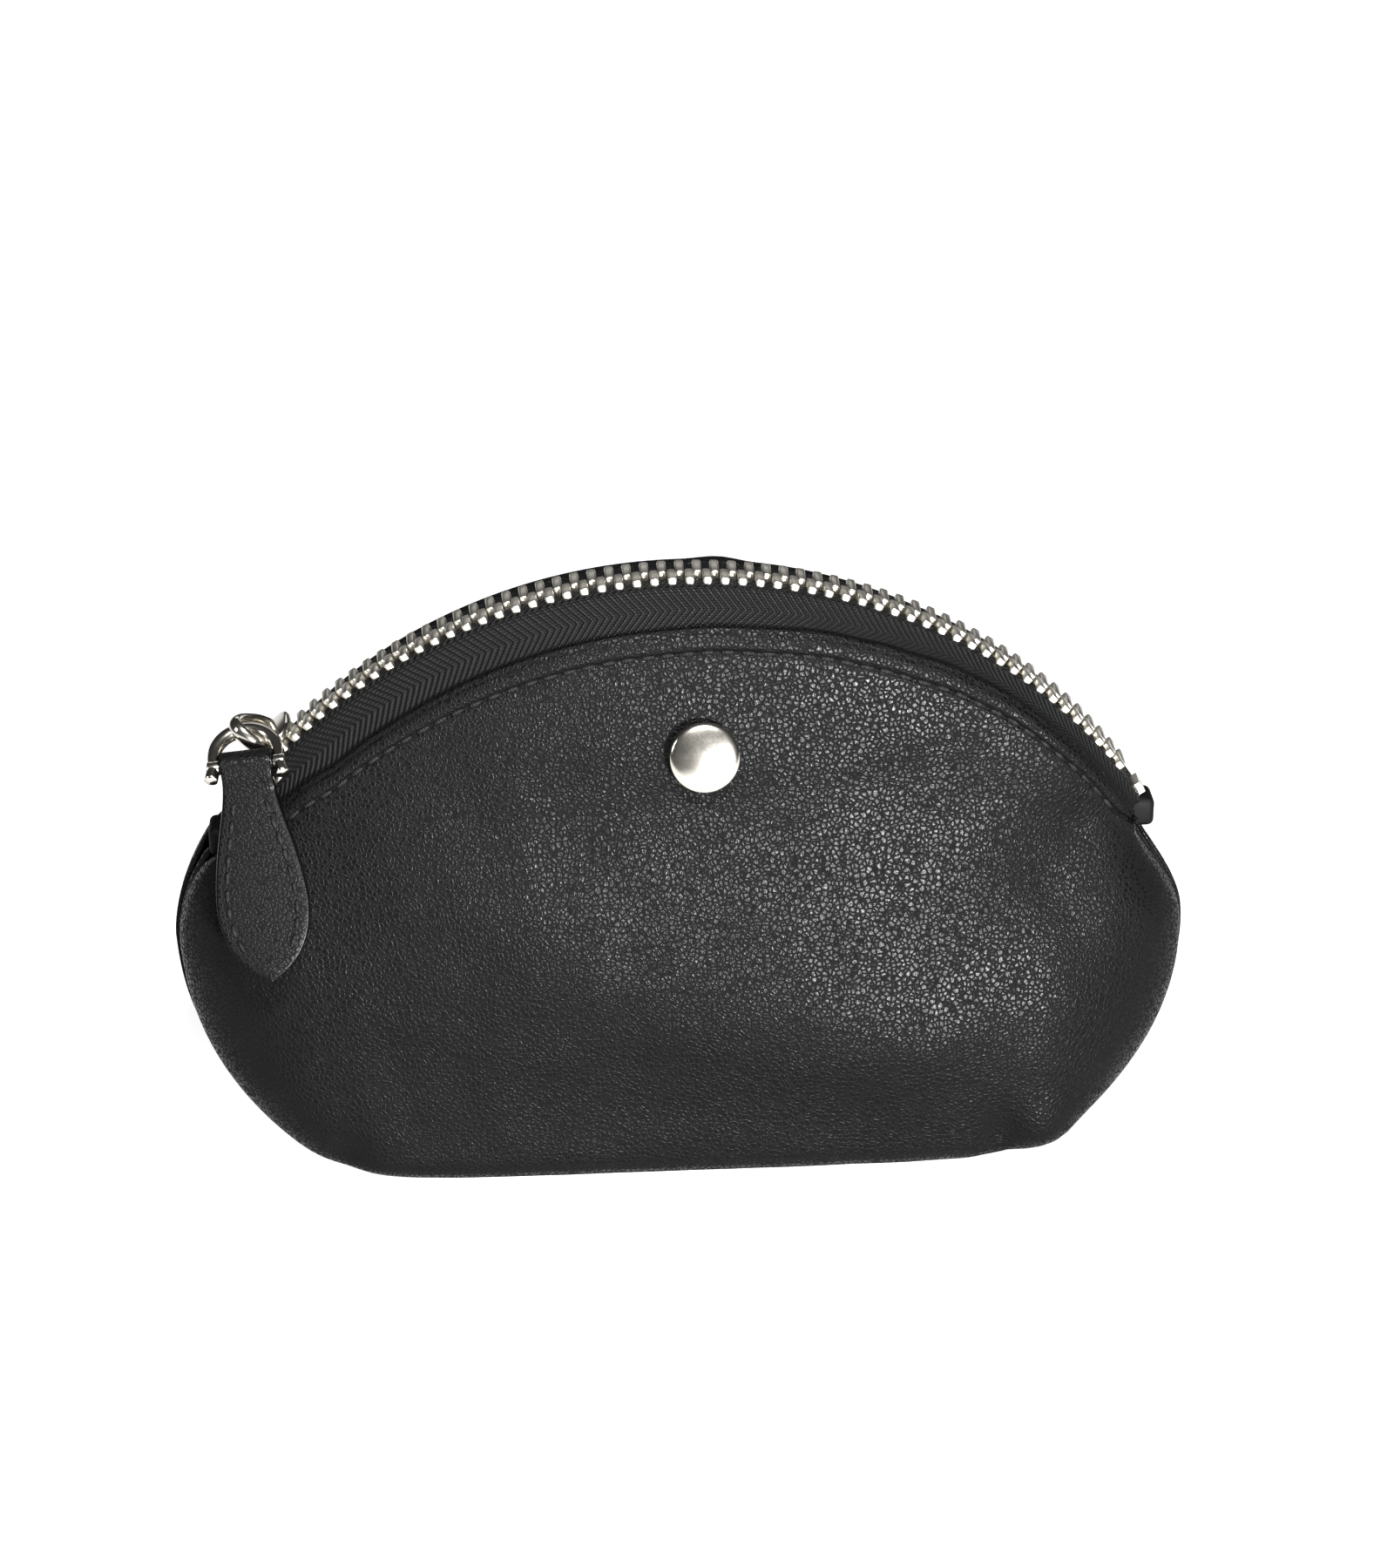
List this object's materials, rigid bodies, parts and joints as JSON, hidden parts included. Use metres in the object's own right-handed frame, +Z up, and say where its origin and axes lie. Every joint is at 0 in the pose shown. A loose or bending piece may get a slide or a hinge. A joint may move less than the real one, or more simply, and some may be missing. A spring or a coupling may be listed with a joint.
{
  "type": "coin purse",
  "caption": "Half-moon black leather coin purse with an arched metal zip, a leather pull tab on a metal loop and a round metal stud on the front.",
  "frame": {"origin": "middle of the flat base, on the surface it stands on", "axes": "+X along the width towards the open end of the zip, +Y towards the back, +Z up; the stud and the tab are on the front, which faces -Y"},
  "size_m": [0.1296, 0.0378, 0.0782],
  "materials": {
    "leather": "pebbled black leather, satin",
    "lining": "plain woven black lining",
    "board": "fibre board, matte",
    "zip_tape": "black herringbone woven tape",
    "thread": "black bonded thread",
    "zip_metal": "nickel plated zip teeth and stops",
    "polished_metal": "polished nickel plate"
  },
  "bodies": {
    "root": {"base_panel": "leather", "base_stiffener": "board", "base_lining": "lining", "left_side_seam": "leather", "right_side_seam": "leather", "left_zip_end": "zip_tape", "right_zip_end": "zip_tape", "bottom_stop": "zip_metal"},
    "front_wall": {"front_panel": "leather", "front_hem": "leather", "front_topstitch": "thread", "front_lining": "lining", "front_tape": "zip_tape", "front_teeth": "zip_metal", "front_top_stop": "zip_metal", "stud_cap": "polished_metal", "stud_post": "polished_metal", "stud_washer": "polished_metal"},
    "back_wall": {"back_panel": "leather", "back_hem": "leather", "back_topstitch": "thread", "back_lining": "lining", "back_tape": "zip_tape", "back_teeth": "zip_metal", "back_top_stop": "zip_metal"},
    "slider": {"slider_body": "polished_metal", "slider_crown": "polished_metal"},
    "pull": {"pull_loop": "polished_metal", "pull_pin": "polished_metal"},
    "tab": {"tab_strap": "leather", "tab_stitching": "thread"}
  },
  "joints": [
    {"name": "slider_travel", "type": "hinge", "parent": "root", "child": "slider", "pos_m": [0, 0, 0.007], "axis": [0, 1, 0], "range_deg": [0, 99], "deforming": ["front_teeth", "back_teeth"]},
    {"name": "mouth_front", "type": "hinge", "parent": "root", "child": "front_wall", "pos_m": [0, -0.012, 0.007], "axis": [1, 0, 0], "range_deg": [0, 6]},
    {"name": "mouth_back", "type": "hinge", "parent": "root", "child": "back_wall", "pos_m": [0, 0.012, 0.007], "axis": [-1, 0, 0], "range_deg": [0, 6]},
    {"name": "pull_swing", "type": "hinge", "parent": "slider", "child": "pull", "pos_m": [-0.05575, -0.0023, 0.05836], "axis": [-0.9954, 0, -0.0958], "range_deg": [0, 90]},
    {"name": "tab_swing", "type": "hinge", "parent": "pull", "child": "tab", "pos_m": [-0.05553, -0.00742, 0.05609], "axis": [-0.9954, 0, -0.0958], "range_deg": [0, 90]}
  ],
  "couplings": [
    {"joint": "mouth_front", "follows": "slider_travel", "ratio": 0.06},
    {"joint": "mouth_back", "follows": "slider_travel", "ratio": 0.06},
    {"joint": "pull_swing", "follows": "slider_travel", "ratio": 0.9}
  ]
}
